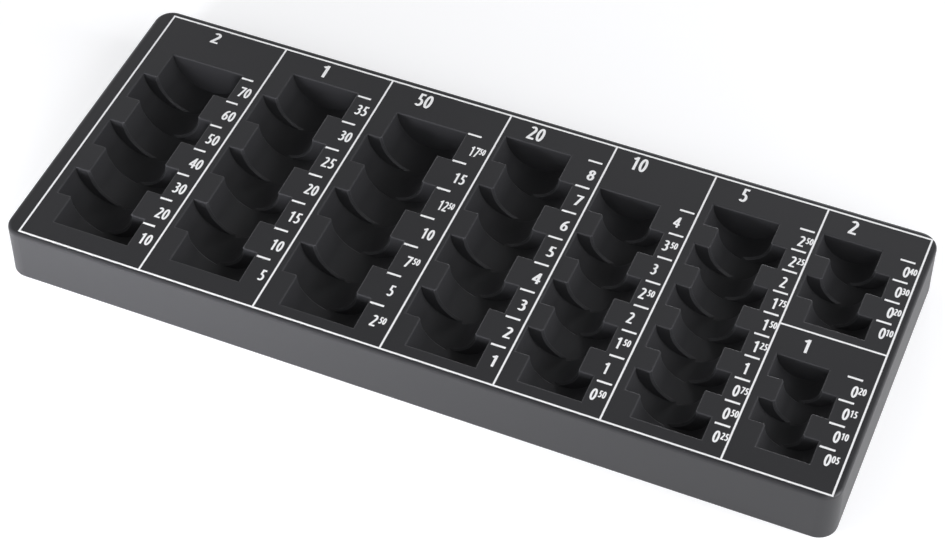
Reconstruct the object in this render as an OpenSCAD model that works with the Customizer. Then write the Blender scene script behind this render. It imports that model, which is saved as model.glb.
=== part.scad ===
// Manual coin counting tray. One thin-walled moulding carries eight rows of half-round coin
// pockets, and a white scale is printed on its deck. Each pocket holds five coins on edge and
// steps sideways from the one before it, so a full pocket can be counted at a glance.
// Millimetres, +Z up. The origin is under the middle of the tray, on the surface it stands on.
// +X runs along the long front wall and +Y from the front wall to the back wall.
// Lists with one value for each row run from the left: 200, 100, 50, 20, 10, 5, 2 and 1 cents.
// The last two rows share a column, with the 2 cent row behind the 1 cent row.

/* [Coins] */
// Diameter of each coin
coin_d = [25.75, 23.25, 24.25, 22.25, 19.75, 21.25, 18.75, 16.25]; // [10:0.05:40]
// Thickness of each coin
coin_t = [2.20, 2.33, 2.38, 2.14, 1.93, 1.67, 1.67, 1.67]; // [1:0.01:4]
// Coins in one pocket
coins_per_pocket = 5; // [3:1:8]
// Pockets in each row
pockets = [7, 7, 7, 8, 8, 10, 4, 4]; // [2:1:12]

/* [Pockets] */
// Play across a pocket, between the coin's edge and the wall
side_play = [0.1, 0.2, 0.35, 0.4, 0.4, 0.6, 0.1, 0.1]; // [0.1:0.05:1]
// Play along a pocket, beyond the thickness of its coins
end_play = [0.71, 1.07, 0.85, 0.92, 0.73, 0.64, 0.81, 0.56]; // [0.2:0.01:2]
// Sideways step from one pocket to the next
stagger = 5.0; // [2:0.05:8]
// Thickness of the half-round pocket walls
pocket_wall = 1.8; // [1.2:0.1:2.5]
// Radius of the edge around a pocket's mouth
mouth_r = 0.45; // [0.2:0.05:1]
// Width of the broken edge along the arc where a pocket steps away from its neighbour
arc_edge = 0.6; // [0.2:0.05:1]

/* [Columns] */
// Deck between a column line and its nearest pocket
land_left = [3.05, 2.1, 2.25, 1.8, 1.2, 3.05, 1.7]; // [0.5:0.05:8]
// Deck between the last mark of a scale and the next column line
land_right = [3.65, 3.2, 5.35, 1.8, 1.2, 1.2, 2.2]; // [0.5:0.05:8]
// Deck between the front line and the first pocket, and for the 2 cent row from its cross line
land_front = [7.75, 7.75, 4.35, 4.35, 4.55, 4.8, 3.5, 8.6]; // [2:0.05:15]
// Deck behind the longest row, for the headings
heading_land = 9.35; // [6:0.05:20]
// Deck between the 1 cent row and the cross line, for its heading
cross_land = 11.7; // [6:0.05:20]

/* [Print] */
// Width of the printed lines
line_w = 0.6; // [0.3:0.05:1.5]
// Thickness of the ink
ink_t = 0.06; // [0.02:0.01:0.2]
// Length of each row's scale marks
mark_len = [4.1, 4.6, 4.65, 4.75, 4.75, 4.75, 4.75, 4.75]; // [2:0.05:8]
// Width of a scale mark
mark_w = 0.7; // [0.3:0.05:1.5]
// Flat deck between the rounded edge of a row's outer pockets and its scale marks
mark_gap = [0, 0.25, 0.1, 0.45, 1.1, 1.15, 0.75, 0.3]; // [0:0.05:4]
// How far the foremost mark stands in front of its pocket's back end
mark_lead = [1.4, 1.1, 1.45, 1.3, 1.25, 1.55, 0.3, 1.75]; // [0:0.05:3]
// What is added to the pocket length from one mark to the next
mark_creep = [0.02, 0, 0.25, 0.22, 0.29, 0.25, -0.27, 0.47]; // [-0.5:0.01:1]

/* [Walls] */
// Deck between the printed frame and the left, right, front and back walls
rim = [5.65, 2.35, 1.8, 2.5]; // [1:0.05:12]
// Thickness of the outer walls
wall_t = 2.0; // [1.2:0.1:3]
// Thickness of the deck
deck_t = 2.0; // [1.2:0.1:3]
// Clear height between the deepest pocket and the table
stand_gap = 4.6; // [1:0.1:15]
// Radius of the upright corners
corner_r = 6.0; // [4:0.1:12]
// Radius of the edge around the deck
rim_r = 1.3; // [0.5:0.1:1.8]
// Radius inside, where the walls meet the deck
root_r = 0.6; // [0.3:0.1:1.2]
// How far each wall leans out from deck to table, so that the moulding leaves its tool
draft = 0.3; // [0.1:0.05:1]

/* [Hidden] */
$fn = 96;

plastic_tint = [0.13, 0.13, 0.135];
ink_tint = [0.94, 0.94, 0.93];

// Rows by their place in the lists
ROWS = [0 : 7];
back_row = 6;
cross_row = 7;

function sum_to(list, n) = n <= 0 ? 0 : list[n - 1] + sum_to(list, n - 1);

// Sizes of the rows
pocket_r = [for (i = ROWS) (coin_d[i] + side_play[i]) / 2];
pocket_len = [for (i = ROWS) coins_per_pocket * coin_t[i] + end_play[i]];
row_len = [for (i = ROWS) pockets[i] * pocket_len[i]];
row_w = [for (i = ROWS) 2 * pocket_r[i] + stagger];

// How far a row's marks start from the outer pockets
function mark_in(i) = mouth_r + mark_gap[i];

// Columns: a line, the row of pockets, its scale marks, and the next line
columns = len(land_left);
column_w = [for (c = [0 : columns - 1])
    land_left[c] + row_w[c] + mark_in(c) + mark_len[c] + land_right[c]];
line_x = [for (c = [0 : columns]) sum_to(column_w, c)];
frame_len = line_x[columns];

// The cross line lies between the two short rows
cross_y = land_front[cross_row] + row_len[cross_row] + cross_land;
row_front = [for (i = ROWS) land_front[i] + (i == back_row ? cross_y : 0)];
row_back = [for (i = ROWS) row_front[i] + row_len[i]];
frame_dep = max(row_back) + heading_land;

// The middle of each row; the 1 cent row is in line with the 2 cent row
function row_mid(i) = i == cross_row
    ? row_mid(back_row)
    : line_x[i] + land_left[i] + row_w[i] / 2;

// Outer sizes
tray_len = rim[0] + frame_len + rim[1];
tray_dep = rim[2] + frame_dep + rim[3];
deck_z = stand_gap + pocket_wall + max(pocket_r);

// Where the printed frame's front left corner lies
frame_x = rim[0] - tray_len / 2;
frame_y = rim[2] - tray_dep / 2;

// Pockets stand to the right and to the left by turns, counted from the back of the row.
// The first three rows start on the right, the others on the left.
right_first_rows = 3;
function side(i, k) = (k % 2 == 0) == (i < right_first_rows) ? 1 : -1;
function pocket_x(i, k) = frame_x + row_mid(i) + side(i, k) * stagger / 2;
function pocket_y(i, k) = frame_y + row_back[i] - (k + 0.5) * pocket_len[i];

// Section of a wall: it leans out to its foot by the draft and rounds over at the top.
// reach is the distance from the inner end of the section to the wall's top edge.
module wall_section(reach, height, edge_r) {
    polygon([[0, 0], [reach + draft, 0], [reach, height - edge_r], [reach - edge_r, height], [0, height]]);
    translate([reach - edge_r, height - edge_r])
        intersection() {
            circle(r = edge_r);
            square(edge_r);
        }
}

// A block with leaning walls, upright corners of radius r and an edge of radius edge_r around
// its top: four turned corner posts and two bars between them
module leaning_block(length, depth, height, r, edge_r) {
    run_x = length - 2 * r;
    run_y = depth - 2 * r;
    for (sx = [-1, 1])
        for (sy = [-1, 1])
            translate([sx * run_x / 2, sy * run_y / 2, 0])
                rotate_extrude()
                    wall_section(r, height, edge_r);
    rotate([90, 0, 90])
        linear_extrude(run_x, center = true)
            both_sides()
                wall_section(depth / 2, height, edge_r);
    rotate([90, 0, 0])
        linear_extrude(run_y, center = true)
            both_sides()
                wall_section(length / 2, height, edge_r);
}

module both_sides() {
    children();
    mirror([1, 0])
        children();
}

// The outside of the moulding, and the hollow under its deck
module outside() {
    leaning_block(tray_len, tray_dep, deck_z, corner_r, rim_r);
}

module hollow() {
    leaning_block(tray_len - 2 * wall_t, tray_dep - 2 * wall_t, deck_z - deck_t,
        corner_r - wall_t, root_r);
}

// Puts its children in the middle of a pocket's mouth
module at_pocket(i, k) {
    translate([pocket_x(i, k), pocket_y(i, k), deck_z])
        children();
}

// Round bar along Y
module bar(r, length) {
    rotate([90, 0, 0])
        cylinder(r = r, h = length, center = true);
}

// Outside of the pockets: round bars, cut off inside the deck
module pocket_shells() {
    intersection() {
        union()
            for (i = ROWS)
                for (k = [0 : pockets[i] - 1])
                    at_pocket(i, k)
                        bar(pocket_r[i] + pocket_wall, pocket_len[i] + 2 * pocket_wall);
        translate([-tray_len / 2, -tray_dep / 2, 0])
            cube([tray_len, tray_dep, deck_z - deck_t / 2]);
    }
}

// Section of a slot of width w, with rounded upper edges
module slot_section(w) {
    difference() {
        translate([-w / 2 - mouth_r, -mouth_r])
            square([w + 2 * mouth_r, 2 * mouth_r]);
        both_sides()
            translate([w / 2 + mouth_r, -mouth_r])
                circle(r = mouth_r);
    }
}

// Mouth of a pocket: two slots that cross, so that its edge is rounded all round
module mouth(w, length) {
    intersection() {
        rotate([90, 0, 0])
            linear_extrude(length + 2 * mouth_r, center = true)
                slot_section(w);
        rotate([90, 0, 90])
            linear_extrude(w + 2 * mouth_r, center = true)
                slot_section(length);
    }
}

// Broken edge of pocket k along the arc where a neighbour reaches past it. It goes only as far
// out as the neighbour does, so it fades away at the bottom, where the two arcs cross.
// toward is 1 for the neighbour behind and -1 for the one in front.
module broken_arc(i, k, toward) {
    translate([0, pocket_y(i, k) + toward * pocket_len[i] / 2, deck_z])
        rotate([toward * 90, 0, 0])
            intersection() {
                translate([pocket_x(i, k), 0, 0])
                    cylinder(r1 = pocket_r[i] + arc_edge, r2 = pocket_r[i], h = arc_edge);
                translate([pocket_x(i, k - toward), 0, 0])
                    cylinder(r = pocket_r[i], h = arc_edge);
            }
}

// Everything a row takes out of the moulding
module row_cut(i) {
    for (k = [0 : pockets[i] - 1])
        at_pocket(i, k) {
            bar(pocket_r[i], pocket_len[i]);
            mouth(2 * pocket_r[i], pocket_len[i]);
        }
    for (k = [1 : pockets[i] - 1]) {
        broken_arc(i, k, 1);
        broken_arc(i, k - 1, -1);
    }
}

module tray_body() {
    color(plastic_tint)
        difference() {
            union() {
                difference() {
                    outside();
                    hollow();
                }
                pocket_shells();
            }
            for (i = ROWS)
                row_cut(i);
        }
}

// Flat ink on the deck, from the frame's front left corner
module ink(x, y, w, d) {
    translate([frame_x + x, frame_y + y, deck_z])
        cube([w, d, ink_t]);
}

module printed_grid() {
    color(ink_tint)
        union() {
            for (x = line_x)
                ink(x - line_w / 2, -line_w / 2, line_w, frame_dep + line_w);
            for (y = [0, frame_dep])
                ink(-line_w / 2, y - line_w / 2, frame_len + line_w, line_w);
            ink(line_x[columns - 1], cross_y - line_w / 2, column_w[columns - 1], line_w);
        }
}

// One mark for each pocket of a row, counted from the front
module scale_marks(i) {
    mark_x = row_mid(i) + row_w[i] / 2 + mark_in(i);
    first_y = row_front[i] + pocket_len[i] - mark_lead[i];
    pitch = pocket_len[i] + mark_creep[i];
    color(ink_tint)
        for (k = [0 : pockets[i] - 1])
            ink(mark_x, first_y + k * pitch - mark_w / 2, mark_len[i], mark_w);
}

tray_body();
printed_grid();
scale_marks(0);  // scale_marks_200
scale_marks(1);  // scale_marks_100
scale_marks(2);  // scale_marks_50
scale_marks(3);  // scale_marks_20
scale_marks(4);  // scale_marks_10
scale_marks(5);  // scale_marks_5
scale_marks(6);  // scale_marks_2
scale_marks(7);  // scale_marks_1
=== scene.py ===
# %% [markdown]
# # A coin counting tray
#
# The object is one shallow moulding in black plastic, 27 cm long, with a white scale printed on
# its deck. Its shape comes finished from the CAD model, so the lesson here is about surfaces:
# how black plastic is told apart from black paint, how a printed film sits on it, and how clean
# flat figures are drawn and meshed in code.
#
# The model is loaded first, and its size is kept, to be compared with the size at the end. All
# lengths are in metres, so a length in millimetres is written as a number times MM.

import math

import bmesh
import bpy
from mathutils import Euler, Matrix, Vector
from mathutils.geometry import delaunay_2d_cdt


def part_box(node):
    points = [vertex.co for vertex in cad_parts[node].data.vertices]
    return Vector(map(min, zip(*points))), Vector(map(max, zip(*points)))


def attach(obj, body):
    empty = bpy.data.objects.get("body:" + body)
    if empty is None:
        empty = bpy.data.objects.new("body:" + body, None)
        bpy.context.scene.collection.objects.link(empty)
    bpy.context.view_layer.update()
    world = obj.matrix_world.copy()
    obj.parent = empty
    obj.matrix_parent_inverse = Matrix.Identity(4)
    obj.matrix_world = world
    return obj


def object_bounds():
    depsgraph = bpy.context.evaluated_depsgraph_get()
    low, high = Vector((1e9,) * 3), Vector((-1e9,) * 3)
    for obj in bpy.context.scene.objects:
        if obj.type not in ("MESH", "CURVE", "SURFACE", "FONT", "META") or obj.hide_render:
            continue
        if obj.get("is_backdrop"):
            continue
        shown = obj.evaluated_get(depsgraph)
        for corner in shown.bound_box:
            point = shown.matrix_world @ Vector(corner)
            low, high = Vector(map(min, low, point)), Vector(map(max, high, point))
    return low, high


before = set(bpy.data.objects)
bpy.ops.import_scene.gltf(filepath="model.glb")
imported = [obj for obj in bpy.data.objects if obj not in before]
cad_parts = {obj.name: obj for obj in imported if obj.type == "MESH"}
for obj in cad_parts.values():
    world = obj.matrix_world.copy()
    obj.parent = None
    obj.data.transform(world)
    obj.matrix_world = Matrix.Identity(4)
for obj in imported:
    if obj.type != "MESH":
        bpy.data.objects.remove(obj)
cad_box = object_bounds()
MM = 0.001

tray_low, tray_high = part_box("tray_body")
print("tray, mm:", [round(v / MM, 2) for v in tray_high - tray_low])

# %% [markdown]
# ## The rows
#
# Every row of pockets is named for the value of its coin, in hundredths of a whole. The CAD
# model already holds each row's scale marks, so the place of a row and the pitch of its scale
# are read off those marks, and the numbers can't drift away from them.

# %% Read the scales off the CAD marks
MARKS_PER_ROW = {"200": 7, "100": 7, "50": 7, "20": 8, "10": 8, "5": 10, "2": 4, "1": 4}
MARK_WIDTH = 0.7 * MM


class Scale:
    """One row's scale: the left end of its marks, and where they stand along the row."""

    def __init__(self, row, count):
        low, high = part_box("scale_marks_" + row)
        self.left = low.x
        self.first = low.y + MARK_WIDTH / 2
        self.pitch = (high.y - low.y - MARK_WIDTH) / (count - 1)
        self.count = count

    def mark(self, k):
        """The middle of mark k, counted from the front."""
        return self.first + k * self.pitch


scales = {row: Scale(row, count) for row, count in MARKS_PER_ROW.items()}
for row, scale in scales.items():
    print("row", row, "- pitch", round(scale.pitch / MM, 2), "mm")

# %% [markdown]
# ## Camera
#
# The photograph was taken from the front right and well above, through a long lens. The printed
# frame is a rectangle, and the way its four corners fall in the picture gives the viewpoint and
# the focal length directly. The camera is therefore set by place, target, roll and lens.
#
# The view transform is Standard, so that a colour leaves the render as it was written.

# %% Camera
CAMERA_PLACE = Vector((194.9, -471.1, 584.1)) * MM
CAMERA_TARGET = Vector((4.1, -8.45, 10.1)) * MM
CAMERA_ROLL = math.radians(0.185)
LENS_MM = 92.45
SENSOR_MM = 36
NEAREST_SEEN = 10 * MM


def new_object(name, data):
    """Puts an object that shows this data into the scene."""
    made = bpy.data.objects.new(name, data)
    bpy.context.scene.collection.objects.link(made)
    return made


lens = bpy.data.cameras.new("camera")
lens.lens = LENS_MM
lens.sensor_width = SENSOR_MM
lens.sensor_fit = "HORIZONTAL"
lens.clip_start = NEAREST_SEEN
camera = new_object("camera", lens)
camera.location = CAMERA_PLACE
aim = (CAMERA_TARGET - CAMERA_PLACE).to_track_quat("-Z", "Y").to_matrix()
camera.rotation_euler = (aim @ Euler((0, 0, CAMERA_ROLL)).to_matrix()).to_euler()
bpy.context.scene.camera = camera
bpy.context.scene.view_settings.view_transform = "Standard"
print("camera distance, mm:", round((CAMERA_TARGET - CAMERA_PLACE).length / MM))

# %% [markdown]
# ## Two helpers for materials
#
# Every finish here is a small tree of nodes. Adding nodes by hand takes four lines each, so one
# helper makes an empty material and another puts a node in its place with its values.
#
# A Mix node has sockets for numbers, vectors and colours under the same names. Its colour
# sockets can only be picked by their place in the list, so these places get names.

# %% Small helpers for materials
MIX_SHARE, MIX_FIRST, MIX_SECOND = 0, 6, 7
MIX_RESULT = 2


def new_material(name):
    """A material with an empty tree, ready for its nodes."""
    made = bpy.data.materials.new(name)
    made.use_nodes = True
    made.node_tree.nodes.clear()
    return made


def add(tree, kind, at, **values):
    """Puts a node into a tree. Values name its settings or its input sockets."""
    node = tree.nodes.new(kind)
    node.location = at
    for name, value in values.items():
        if hasattr(node, name):
            setattr(node, name, value)
        else:
            node.inputs[name.replace("_", " ")].default_value = value
    return node


print("places of a Mix node's colours:", MIX_FIRST, "and", MIX_SECOND)

# %% [markdown]
# ## Floor
#
# The tray stands on a plain white table, which is also what its walls mirror. The table could
# be lit until it is white, but the same light would wash out the black plastic. So the floor
# keeps a matt surface, which takes the lamps and the tray's shadow, and glows a little by
# itself. To the eye it glows with just what the lamps leave short of white, so that the soft
# shadow round the tray stays. In reflections it glows more, because that gives the walls the
# greys they have in the photograph.

# %% Floor
FLOOR_HALF = 8.0
FLOOR_WHITE = (0.8, 0.8, 0.8, 1)
GLOW_TO_THE_EYE = 0.40
GLOW_IN_REFLECTIONS = 0.64

floor_mesh = bpy.data.meshes.new("floor")
corners = [(x * FLOOR_HALF, y * FLOOR_HALF, 0) for x, y in ((-1, -1), (1, -1), (1, 1), (-1, 1))]
floor_mesh.from_pydata(corners, [], [(0, 1, 2, 3)])
floor = new_object("floor", floor_mesh)
floor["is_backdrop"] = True
print("floor:", 2 * FLOOR_HALF, "m square")

# %% Floor material
paper = new_material("white_floor")
tree = paper.node_tree
path = add(tree, "ShaderNodeLightPath", (-800, 200))
mirrored = add(tree, "ShaderNodeMath", (-600, 200), operation="MAXIMUM")
mirrored_glow = add(tree, "ShaderNodeMath", (-400, 200), operation="MULTIPLY")
mirrored_glow.inputs[1].default_value = GLOW_IN_REFLECTIONS
glow_strength = add(tree, "ShaderNodeMath", (-200, 200), operation="MULTIPLY_ADD")
glow_strength.inputs[1].default_value = GLOW_TO_THE_EYE
matt = add(tree, "ShaderNodeBsdfDiffuse", (0, 0), Color=FLOOR_WHITE)
glow = add(tree, "ShaderNodeEmission", (0, 200))
both = add(tree, "ShaderNodeAddShader", (200, 100))
out = add(tree, "ShaderNodeOutputMaterial", (400, 100))
tree.links.new(path.outputs["Is Glossy Ray"], mirrored.inputs[0])
tree.links.new(path.outputs["Is Transmission Ray"], mirrored.inputs[1])
tree.links.new(mirrored.outputs[0], mirrored_glow.inputs[0])
tree.links.new(path.outputs["Is Camera Ray"], glow_strength.inputs[0])
tree.links.new(mirrored_glow.outputs[0], glow_strength.inputs[2])
tree.links.new(glow_strength.outputs[0], glow.inputs["Strength"])
tree.links.new(matt.outputs[0], both.inputs[0])
tree.links.new(glow.outputs[0], both.inputs[1])
tree.links.new(both.outputs[0], out.inputs["Surface"])
floor_mesh.materials.append(paper)
print(paper.name, "glow:", GLOW_TO_THE_EYE, "to the eye,", GLOW_IN_REFLECTIONS, "in reflections")

# %% [markdown]
# ## Light
#
# Black plastic hardly shows its own colour. What the eye reads on it is a blurred picture of
# whatever stands opposite, so the light is laid out face by face. The two low lamps behind the
# tray are what the deck mirrors. The two lamps on the right light the right wall and the left
# flanks of the pockets, and leave the pockets' floors dark. Three weaker lamps in front bring
# out the end faces of the pockets. The room adds a trace, so that no face falls to full black.
#
# The photograph's front wall is far brighter at its left end. No large, distant lamp can do
# that. One small lamp stands close to that end, with its middle a little above the deck: its
# light falls off along the wall, and it only grazes the deck. It is kept out of glossy
# reflections, because the rounded rim would mirror it as a bright line, and the real rim
# shows none.

# %% Room light
ROOM_COLOUR = (1, 1, 1, 1)
ROOM_STRENGTH = 0.13

world = bpy.data.worlds.new("room")
world.use_nodes = True
world.node_tree.nodes.clear()
room = add(world.node_tree, "ShaderNodeBackground", (0, 0),
           Color=ROOM_COLOUR, Strength=ROOM_STRENGTH)
room_out = add(world.node_tree, "ShaderNodeOutputWorld", (200, 0))
world.node_tree.links.new(room.outputs[0], room_out.inputs["Surface"])
bpy.context.scene.world = world
print("room light:", ROOM_STRENGTH)


# %% Lamps
COOL_WHITE = (0.96, 0.965, 1.0)


def soft_lamp(name, place, target, side, watts):
    """A square area lamp that looks at a point."""
    light = bpy.data.lights.new(name, "AREA")
    light.color = COOL_WHITE
    light.shape = "SQUARE"
    light.size = side
    light.energy = watts
    lamp = new_object(name, light)
    lamp.location = place
    lamp.rotation_euler = (Vector(target) - Vector(place)).to_track_quat("-Z", "Y").to_euler()
    return lamp


print("colour of every lamp:", COOL_WHITE)

# %% Seven lamps about a metre away
TRAY = (0, 0, 0)

# name, place, side, watts
FAR_LAMPS = [
    ("right_lamp", (0.863, -0.076, 0.5), 0.8, 4.5),
    ("right_low_lamp", (0.982, 0, 0.191), 0.35, 6.0),
    ("right_front_lamp", (0.612, -0.612, 0.5), 0.8, 2.7),
    ("front_low_lamp", (0, -0.982, 0.191), 0.35, 1.4),
    ("left_front_lamp", (-0.612, -0.612, 0.5), 0.8, 2.6),
    ("back_low_lamp", (0, 0.982, 0.191), 0.35, 3.7),
    ("back_left_lamp", (-0.692, 0.692, 0.208), 0.4, 2.0),
]
for name, place, side, watts in FAR_LAMPS:
    soft_lamp(name, place, TRAY, side, watts)
    print(name, "-", watts, "W")

# %% One lamp near the front left corner
NEAR_LAMP_PLACE = (-0.17, -0.30, 0.04)
NEAR_LAMP_TARGET = (-0.10, -0.05, 0.01)
NEAR_LAMP_SIDE = 0.078
NEAR_LAMP_WATTS = 2.1

near_lamp = soft_lamp("near_lamp", NEAR_LAMP_PLACE, NEAR_LAMP_TARGET,
                      NEAR_LAMP_SIDE, NEAR_LAMP_WATTS)
near_lamp.visible_glossy = False
print(near_lamp.name, "-", NEAR_LAMP_WATTS, "W")

# %% [markdown]
# ## A grain for plastic and for ink
#
# A mould for a tray like this is spark-eroded, which leaves a fine, even grain on every face
# it forms. The ink is thinner than the grain is deep, so it follows the same grain. Modelling
# such a grain would take millions of faces, so it is a bump. One node group makes its relief,
# and each material places it with its own strength. The group also gives a broad mottle, a few
# centimetres across, for whatever changes slowly over the surface.

# %% Grain group
def new_group(name, inputs, outputs):
    """An empty shader node group with its sockets.

    Inputs are rows of name, kind and default; outputs are rows of name and kind.
    """
    group = bpy.data.node_groups.new(name, "ShaderNodeTree")
    for label, kind, default in inputs:
        socket = group.interface.new_socket(
            label, in_out="INPUT", socket_type="NodeSocket" + kind)
        socket.default_value = default
    for label, kind in outputs:
        group.interface.new_socket(label, in_out="OUTPUT", socket_type="NodeSocket" + kind)
    enter = group.nodes.new("NodeGroupInput")
    enter.location = (-900, 0)
    leave = group.nodes.new("NodeGroupOutput")
    leave.location = (600, 0)
    return group, enter, leave


GRAIN_PER_METRE = 2600
GRAIN_NOISE = {"Detail": 3.0, "Roughness": 0.6}
MOTTLE_PER_METRE = 22
MOTTLE_NOISE = {"Detail": 4.0, "Roughness": 0.55}

grain, enter, leave = new_group(
    "moulded_grain",
    [("Grain Scale", "Float", GRAIN_PER_METRE), ("Mottle Scale", "Float", MOTTLE_PER_METRE)],
    [("Height", "Float"), ("Mottle", "Float")],
)
spot = add(grain, "ShaderNodeTexCoord", (-900, 250))
fine = add(grain, "ShaderNodeTexNoise", (-600, 200), **GRAIN_NOISE)
broad = add(grain, "ShaderNodeTexNoise", (-600, -150), **MOTTLE_NOISE)
grain.links.new(spot.outputs["Object"], fine.inputs["Vector"])
grain.links.new(spot.outputs["Object"], broad.inputs["Vector"])
grain.links.new(enter.outputs["Grain Scale"], fine.inputs["Scale"])
grain.links.new(enter.outputs["Mottle Scale"], broad.inputs["Scale"])
grain.links.new(fine.outputs["Fac"], leave.inputs["Height"])
grain.links.new(broad.outputs["Fac"], leave.inputs["Mottle"])
print("group:", grain.name)

# %% [markdown]
# ## Painted edge highlights
#
# The outer edges of the tray are painted a little paler than its faces: a painted highlight,
# which stands in for the glint of the lamps on the rounded edges. On the tray this draws a fine
# pale line round every pocket. The line could be found from the mesh, but the faces are large
# and have few points. Instead each point sends short rays into the plastic. Near an outer edge
# they soon come out again, and in a hollow corner they never do.

# %% Painted edge highlight group
EDGE_REACH = 0.5 * MM
EDGE_RAYS = 8
EDGE_CONTRAST = 1.6

# The mask for a painted highlight: a pale line along every outer edge
highlight_group, enter, leave = new_group(
    "painted_edge_highlights",
    [("Reach", "Float", EDGE_REACH)],
    [("Edge", "Float")],
)
probe = add(highlight_group, "ShaderNodeAmbientOcclusion", (-600, 0),
            samples=EDGE_RAYS, inside=True, only_local=True)
came_out = add(highlight_group, "ShaderNodeMath", (-300, 0), operation="SUBTRACT")
came_out.inputs[0].default_value = 1.0
edge = add(highlight_group, "ShaderNodeMath", (0, 0), operation="MULTIPLY", use_clamp=True)
edge.inputs[1].default_value = EDGE_CONTRAST
highlight_group.links.new(enter.outputs["Reach"], probe.inputs["Distance"])
highlight_group.links.new(probe.outputs["AO"], came_out.inputs[1])
highlight_group.links.new(came_out.outputs[0], edge.inputs[0])
highlight_group.links.new(edge.outputs[0], leave.inputs["Edge"])
print("group:", highlight_group.name)

# %% [markdown]
# ## Black plastic
#
# The moulding is polystyrene or ABS, dyed black through and through. Its colour is therefore
# nearly the same everywhere, and a real black part returns about two percent of the light, not
# nothing: at zero the pockets would turn into holes. The grain traps part of what a smooth face
# would mirror, which is why the reflection is set a little low. Where the melt cooled at a
# different pace the gloss varies, so the mottle moves the roughness more than the colour.
# Along the outer edges the black goes over into a dark grey, which is a painted highlight.

# %% Plastic material
PLASTIC_DARK = (0.0199, 0.0199, 0.0213, 1)
PLASTIC_LIGHT = (0.0238, 0.0238, 0.0256, 1)
# Painted highlight: the grey that the outer edges are lightened to
PLASTIC_PAINTED_HIGHLIGHT = (0.075, 0.075, 0.080, 1)
PLASTIC_ROUGHNESS = (0.45, 0.55)
PLASTIC_IOR = 1.5
PLASTIC_REFLECTION = 0.4
PLASTIC_GRAIN = {"Strength": 0.35, "Distance": 0.04 * MM}

plastic = new_material("black_plastic")
tree = plastic.node_tree
texture = add(tree, "ShaderNodeGroup", (-900, 0), node_tree=grain)
tint = add(tree, "ShaderNodeMix", (-500, 200), data_type="RGBA")
tint.inputs[MIX_FIRST].default_value = PLASTIC_DARK
tint.inputs[MIX_SECOND].default_value = PLASTIC_LIGHT
# The edge mask mixes the painted highlight grey into the base colour
edge_highlight = add(tree, "ShaderNodeGroup", (-500, 450), node_tree=highlight_group)
highlighted = add(tree, "ShaderNodeMix", (-300, 300), data_type="RGBA")
highlighted.inputs[MIX_SECOND].default_value = PLASTIC_PAINTED_HIGHLIGHT
smoothest, roughest = PLASTIC_ROUGHNESS
sheen = add(tree, "ShaderNodeMapRange", (-500, -100), To_Min=smoothest, To_Max=roughest)
bump = add(tree, "ShaderNodeBump", (-500, -350), **PLASTIC_GRAIN)
shader = add(tree, "ShaderNodeBsdfPrincipled", (-100, 0),
             IOR=PLASTIC_IOR, Specular_IOR_Level=PLASTIC_REFLECTION)
out = add(tree, "ShaderNodeOutputMaterial", (200, 0))
tree.links.new(texture.outputs["Mottle"], tint.inputs[MIX_SHARE])
tree.links.new(edge_highlight.outputs["Edge"], highlighted.inputs[MIX_SHARE])
tree.links.new(tint.outputs[MIX_RESULT], highlighted.inputs[MIX_FIRST])
tree.links.new(highlighted.outputs[MIX_RESULT], shader.inputs["Base Color"])
tree.links.new(texture.outputs["Mottle"], sheen.inputs["Value"])
tree.links.new(sheen.outputs[0], shader.inputs["Roughness"])
tree.links.new(texture.outputs["Height"], bump.inputs["Height"])
tree.links.new(bump.outputs[0], shader.inputs["Normal"])
tree.links.new(shader.outputs[0], out.inputs["Surface"])
print(plastic.name, "roughness:", PLASTIC_ROUGHNESS)

# %% [markdown]
# ## White ink
#
# The scale is screen-printed in one pass. A thick white lets a trace of the black through where
# the mesh left less ink, so the tint wanders between a thin and a full white over a few
# centimetres. It is a little less glossy than the plastic, which keeps the figures readable
# under a lamp. The lines and marks are solids of the CAD model, so they only need this finish.

# %% Ink material
INK_THIN = (0.90, 0.90, 0.89, 1)
INK_FULL = (0.95, 0.95, 0.94, 1)
INK_ROUGHNESS = 0.55
INK_GRAIN = {"Strength": 0.2, "Distance": 0.03 * MM}

ink = new_material("white_ink")
tree = ink.node_tree
texture = add(tree, "ShaderNodeGroup", (-900, 0), node_tree=grain)
tint = add(tree, "ShaderNodeMix", (-500, 200), data_type="RGBA")
tint.inputs[MIX_FIRST].default_value = INK_THIN
tint.inputs[MIX_SECOND].default_value = INK_FULL
bump = add(tree, "ShaderNodeBump", (-500, -350), **INK_GRAIN)
shader = add(tree, "ShaderNodeBsdfPrincipled", (-100, 0), Roughness=INK_ROUGHNESS)
out = add(tree, "ShaderNodeOutputMaterial", (200, 0))
tree.links.new(texture.outputs["Mottle"], tint.inputs[MIX_SHARE])
tree.links.new(tint.outputs[MIX_RESULT], shader.inputs["Base Color"])
tree.links.new(texture.outputs["Height"], bump.inputs["Height"])
tree.links.new(bump.outputs[0], shader.inputs["Normal"])
tree.links.new(shader.outputs[0], out.inputs["Surface"])
print(ink.name, "roughness:", INK_ROUGHNESS)

# %% Give the CAD nodes their materials
for name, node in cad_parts.items():
    finish = plastic if name == "tray_body" else ink
    node.data.materials.clear()
    node.data.materials.append(finish)
    print(name, "->", finish.name)

# %% [markdown]
# ## Drawing the figures
#
# The tray's numbers are printed in the same pass as its lines, in a narrow bold hand without
# serifs. A text object would need a font, and its outline would have to be turned into a mesh
# that is closed and clean. Here each figure is drawn as a sign writer would draw it, in a few
# strokes of a broad pen. The pen is an ellipse, a little wider than tall, so that an upright
# stroke comes out stronger than a level one, as in printed figures. Every stroke becomes a
# ribbon of small quads, and one triangulation merges the ribbons into a single outline.

# %% The pen and its strokes
PEN_ACROSS = 0.148
PEN_DOWN = 0.130
ARC_STEPS = 22


def line(start, end):
    """A straight stroke. Figures are drawn one unit tall."""
    return [Vector(start), Vector(end)]


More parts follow.
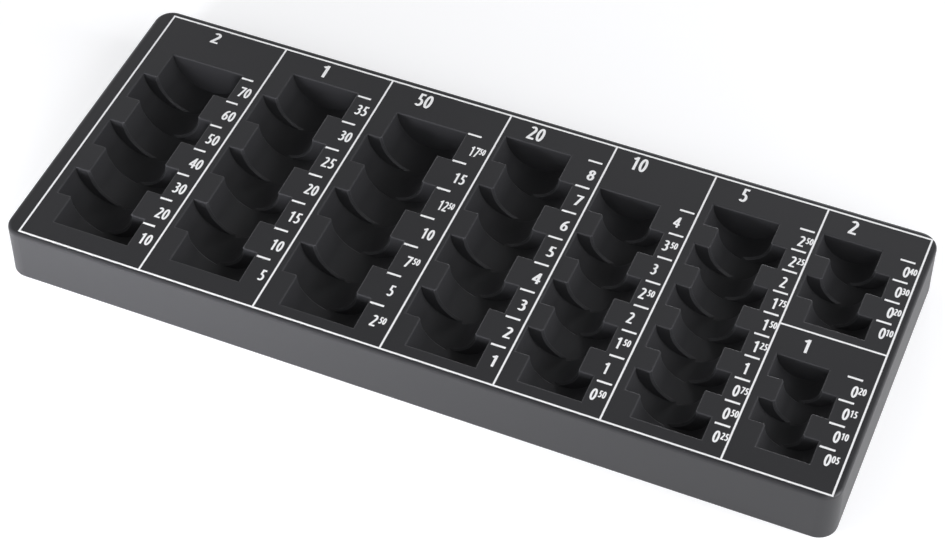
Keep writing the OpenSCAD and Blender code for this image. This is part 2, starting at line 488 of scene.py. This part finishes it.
def arc(middle, across, tall, start, stop):
    """A stroke along part of an ellipse, between two angles in degrees."""
    turns = [math.radians(start + (stop - start) * k / ARC_STEPS) for k in range(ARC_STEPS + 1)]
    return [Vector((middle[0] + across * math.cos(a), middle[1] + tall * math.sin(a)))
            for a in turns]


def pen_reach(normal, weight):
    """How far the elliptical pen reaches to the side that normal points to."""
    wide, tall = weight * PEN_ACROSS / 2, weight * PEN_DOWN / 2
    reach = Vector((wide ** 2 * normal.x, tall ** 2 * normal.y))
    return reach / math.hypot(wide * normal.x, tall * normal.y)


def ribbon(points, level, weight):
    """The two sides of a stroke. Level ends are cut along the writing line."""
    lefts, rights = [], []
    last = len(points) - 1
    for k, point in enumerate(points):
        along = (points[min(k + 1, last)] - points[max(k - 1, 0)]).normalized()
        reach = pen_reach(Vector((-along.y, along.x)), weight)
        for side, corner in ((lefts, point + reach), (rights, point - reach)):
            if level and k in (0, last):
                corner = corner + along * (point.y - corner.y) / along.y
            side.append(corner)
    return lefts, rights


print("pen, share of a figure's height:", PEN_ACROSS, "by", PEN_DOWN)


# %% The figures, stroke by stroke
ROUND = 360

# The middles of the strokes, in shares of a figure's height, from the lower left
FIGURES = {
    "0": [arc((0.215, 0.5), 0.143, 0.445, 0, ROUND)],
    "1": [line((0.215, 1), (0.215, 0)), line((0.205, 0.915), (0.03, 0.79))],
    "2": [arc((0.185, 0.735), 0.132, 0.2, 148, -38), line((0.295, 0.625), (0.065, 0.08)),
          line((-0.005, 0.065), (0.405, 0.065))],
    "3": [arc((0.165, 0.752), 0.13, 0.183, 142, -72), line((0.095, 0.545), (0.2, 0.545)),
          arc((0.165, 0.298), 0.155, 0.238, 72, -140)],
    "4": [line((0.325, 1), (0.325, 0)), line((0.31, 0.93), (0.06, 0.33)),
          line((0, 0.292), (0.475, 0.292))],
    "5": [line((0.065, 0.935), (0.365, 0.935)), line((0.125, 0.97), (0.105, 0.52)),
          arc((0.158, 0.308), 0.158, 0.243, 112, -138)],
    "6": [arc((0.213, 0.305), 0.14, 0.24, 0, ROUND), arc((0.375, 0.3), 0.302, 0.635, 90, 180)],
    "7": [line((0, 0.935), (0.415, 0.935)), line((0.345, 0.93), (0.125, 0))],
    "8": [arc((0.215, 0.752), 0.122, 0.183, 0, ROUND),
          arc((0.215, 0.295), 0.143, 0.235, 0, ROUND)],
}

# The strokes that stand on the writing line, by their number in the figure, are cut level there
STANDING_STROKES = {"1": 0, "4": 0, "7": 1}


def cut_level(figure, number):
    """True for a stroke that stands on the writing line."""
    return STANDING_STROKES.get(figure) == number


print("figures drawn:", " ".join(FIGURES))


# %% Merge the strokes of a figure
# A triangle with less than TINY is dropped, and points closer than WELD become one
TINY = 1e-7
WELD = 1e-5

# The kind of triangulation that fills the strokes and leaves out what lies round them
INSIDE_ONLY = 1


def turns_left(a, b, c):
    """True for a triangle whose corners run counter-clockwise."""
    return (b - a).cross(c - a) > TINY


def merge(figure, weight):
    """One flat outline for a figure: its corner points and triangles, and its own middle."""
    corners, patches = [], []
    for number, stroke in enumerate(FIGURES[figure]):
        lefts, rights = ribbon(stroke, cut_level(figure, number), weight)
        for k in range(len(stroke) - 1):
            ahead = (rights[k], rights[k + 1], lefts[k + 1])
            behind = (rights[k], lefts[k + 1], lefts[k])
            for patch in (ahead, behind):
                if turns_left(*patch):
                    patches.append([len(corners) + i for i in range(3)])
                    corners += patch
    points, _, faces, _, _, sources = delaunay_2d_cdt(corners, [], patches, INSIDE_ONLY, WELD)
    kept = [face for face, source in zip(faces, sources) if source]
    used = sorted({k for face in kept for k in face})
    place = {old: new for new, old in enumerate(used)}
    points = [points[k] for k in used]
    xs = [p.x for p in points]
    return points, [[place[k] for k in face] for face in kept], (min(xs) + max(xs)) / 2


# The weight of the pen, for the large figures and for the small ones
LARGE, SMALL = 1.0, 1.18
flat_figures = {(figure, weight): merge(figure, weight)
                for figure in FIGURES for weight in (LARGE, SMALL)}
for (figure, weight), (points, faces, _) in flat_figures.items():
    print(figure, "weight", weight, "-", len(points), "points,", len(faces), "triangles")

# %% [markdown]
# ## Setting the numbers
#
# A printed figure is a film of ink with a top, a bottom and an edge. It could be a picture on
# the deck, but then it would blur in a close view. So each figure is a closed mesh, as thin as
# the CAD model's own marks. The figures stand in cells of one width, which is how a column of
# numbers stays in line.

# %% Lay a figure down as a film of ink
grid_low, grid_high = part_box("printed_grid")
INK_BOTTOM = grid_low.z
INK_TOP = grid_high.z

# A figure's cell is this share of its height, and two figures stand off the cell's middle
CELL_SHARE = 0.482
NUDGE_SHARES = {"1": -0.03, "7": 0.03}


def lay_figure(mesh, figure, middle_x, top_y, height, wide, weight):
    """Adds one figure to a bmesh, centred on middle_x with its top at top_y."""
    points, faces, own_middle = flat_figures[figure, weight]
    nudge = NUDGE_SHARES.get(figure, 0)
    flat = [(middle_x + (p.x - own_middle + nudge) * height * wide, top_y + (p.y - 1) * height)
            for p in points]
    tops = [mesh.verts.new((x, y, INK_TOP)) for x, y in flat]
    bottoms = [mesh.verts.new((x, y, INK_BOTTOM)) for x, y in flat]
    # Two triangles pass an inner edge in opposite directions, so only outline edges are left
    outline = {}
    for face in faces:
        mesh.faces.new([tops[k] for k in face])
        mesh.faces.new([bottoms[k] for k in reversed(face)])
        for a, b in zip(face, face[1:] + face[:1]):
            if (b, a) in outline:
                del outline[(b, a)]
            else:
                outline[(a, b)] = True
    for a, b in outline:
        mesh.faces.new([tops[a], bottoms[a], bottoms[b], tops[b]])


def lay_number(mesh, text, first_x, top_y, height, wide=1.0, weight=LARGE):
    """Adds a number, figure by figure. first_x is the middle of its first cell."""
    for k, figure in enumerate(text):
        if figure != " ":
            middle_x = first_x + k * CELL_SHARE * height * wide
            lay_figure(mesh, figure, middle_x, top_y, height, wide, weight)


def finish_print(name, mesh):
    """Turns a bmesh of ink into a piece of the tray."""
    data = bpy.data.meshes.new(name)
    mesh.to_mesh(data)
    mesh.free()
    data.materials.append(ink)
    piece = new_object(name, data)
    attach(piece, "root")


print("film of ink, mm:", round((INK_TOP - INK_BOTTOM) / MM, 3))

# %% [markdown]
# ## The scale numbers
#
# Each mark of a scale carries what the row holds up to there. It follows from the coin's value
# and from the five coins in a pocket, so no list of numbers is needed: whole units are set in
# large figures, hundredths in small raised ones.

# %% Where each row's numbers stand
COINS_PER_POCKET = 5
FIGURE_HEIGHT = 4.5 * MM
SMALL_HEIGHT = 2.6 * MM
SMALL_DROP = 0.12 * MM


class Setting:
    """How a row's numbers stand to its marks. Lengths are in millimetres."""

    def __init__(self, first, below, small=0, cells=1, wide=1.0):
        self.first = first * MM
        self.below_front, self.below_back = (b * MM for b in below)
        self.small = small * MM
        self.cells = cells
        self.wide = wide


# first and small: from the marks' left ends to the middle of the first large and small figure
# below: from a mark's middle down to the top of its number, at the front and at the back
# cells and wide: how many large figures a number has room for, and how broad they are set
SETTINGS = {
    "200": Setting(first=2.75, below=(3.65, 3.65), cells=2),
    "100": Setting(first=2.85, below=(4.40, 3.55), cells=2),
    "50": Setting(first=4.15, below=(4.05, 4.70), small=6.05),
    "20": Setting(first=3.25, below=(3.70, 3.75), wide=1.25),
    "10": Setting(first=0.95, below=(3.05, 3.15), small=2.80),
    "5": Setting(first=2.10, below=(2.55, 2.80), small=3.85),
    "2": Setting(first=3.15, below=(2.20, 2.20), small=4.60),
    "1": Setting(first=3.65, below=(1.80, 2.70), small=5.25),
}
SMALL_WIDE = 0.94

# A number too long for its cells is set narrower, and its small figures stand a share of a
# cell closer to the large ones
SQUEEZE = 0.8
SQUEEZED_HEIGHT = 4.3 * MM
SQUEEZED_GAP = 0.25


def number_text(row, k):
    """The large and the small figures at mark k, counted from the front."""
    wholes, hundredths = divmod(int(row) * COINS_PER_POCKET * (k + 1), 100)
    return str(wholes), "%02d" % hundredths if hundredths else ""


full_rows = {row: number_text(row, scale.count - 1) for row, scale in scales.items()}
print("full rows hold:", {row: ".".join(filter(None, parts)) for row, parts in full_rows.items()})

# %% Print the scale numbers
def print_scale_numbers(row):
    """Makes one piece of all the numbers beside a row."""
    scale, setting = scales[row], SETTINGS[row]
    mesh = bmesh.new()
    texts = []
    for k in range(scale.count):
        large, small = number_text(row, k)
        texts.append(large + ("." + small if small else ""))
        back = k / (scale.count - 1)
        below = setting.below_front + back * (setting.below_back - setting.below_front)
        top = scale.mark(k) - below
        first = scale.left + setting.first
        if len(large) > setting.cells and small:
            lay_number(mesh, large, first, top, SQUEEZED_HEIGHT, SQUEEZE)
            cell = CELL_SHARE * SQUEEZED_HEIGHT * SQUEEZE
            small_x = first + (len(large) - SQUEEZED_GAP) * cell
            lay_number(mesh, small, small_x, top - SMALL_DROP, SMALL_HEIGHT, SQUEEZE, SMALL)
        else:
            lay_number(mesh, large.rjust(setting.cells), first, top, FIGURE_HEIGHT, setting.wide)
            small_x = scale.left + setting.small
            lay_number(mesh, small, small_x, top - SMALL_DROP, SMALL_HEIGHT, SMALL_WIDE, SMALL)
    finish_print("scale_numbers_" + row, mesh)
    print("row", row, "-", " ".join(texts))


for row in scales:
    print_scale_numbers(row)

# %% [markdown]
# ## The headings
#
# Each column is headed by the number of its coin, set larger. Seven headings hang from the
# frame's back line. The eighth hangs from the cross line, whose place is read off the CAD grid:
# its corners are the only ones that lie between the front line and the back line.

# %% Find the cross line
LINE_WIDTH = 0.6 * MM

grid_ys = [v.co.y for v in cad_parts["printed_grid"].data.vertices]
behind_front_line = grid_low.y + 2 * LINE_WIDTH
before_back_line = grid_high.y - 2 * LINE_WIDTH
between = [y for y in grid_ys if behind_front_line < y < before_back_line]
cross_line = (min(between) + max(between)) / 2
back_line = grid_high.y - LINE_WIDTH / 2
print("cross line to back line, mm:", round((back_line - cross_line) / MM, 2))


# %% Print the headings
class Heading:
    """A column's heading. Lengths are in millimetres, across from the marks' left ends."""

    def __init__(self, text, across, below, height, wide=1.0):
        self.text = text
        self.across = across * MM
        self.below = below * MM
        self.height = height * MM
        self.wide = wide


HEADINGS = {
    "200": Heading("2", across=-16.40, below=1.90, height=4.9, wide=1.40),
    "100": Heading("1", across=-14.95, below=1.85, height=5.7, wide=1.25),
    "50": Heading("50", across=-20.45, below=1.80, height=5.9),
    "20": Heading("20", across=-21.15, below=1.70, height=5.9),
    "10": Heading("10", across=-20.10, below=1.70, height=5.9),
    "5": Heading("5", across=-20.60, below=1.60, height=5.9),
    "2": Heading("2", across=-17.20, below=1.60, height=5.8, wide=1.1),
    "1": Heading("1", across=-14.80, below=2.95, height=5.4, wide=1.15),
}

for row, heading in HEADINGS.items():
    mesh = bmesh.new()
    line_y = cross_line if row == "1" else back_line
    lay_number(mesh, heading.text, scales[row].left + heading.across, line_y - heading.below,
               heading.height, heading.wide)
    finish_print("heading_" + row, mesh)
    print("row", row, "- heading", heading.text)

# %% [markdown]
# ## Sizes, and the end
#
# The visual model may not be larger than the CAD model. Both boxes are printed, so that they can
# be compared after every run. The print adds nothing to the box, because it is as thin as the CAD
# model's own marks and lies between the outer lines.

# %% Sizes, and the end
visual_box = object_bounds()
for name, (low, high) in (("CAD", cad_box), ("visual", visual_box)):
    print(name, "box, mm:", [round((b - a) / MM, 2) for a, b in zip(low, high)])
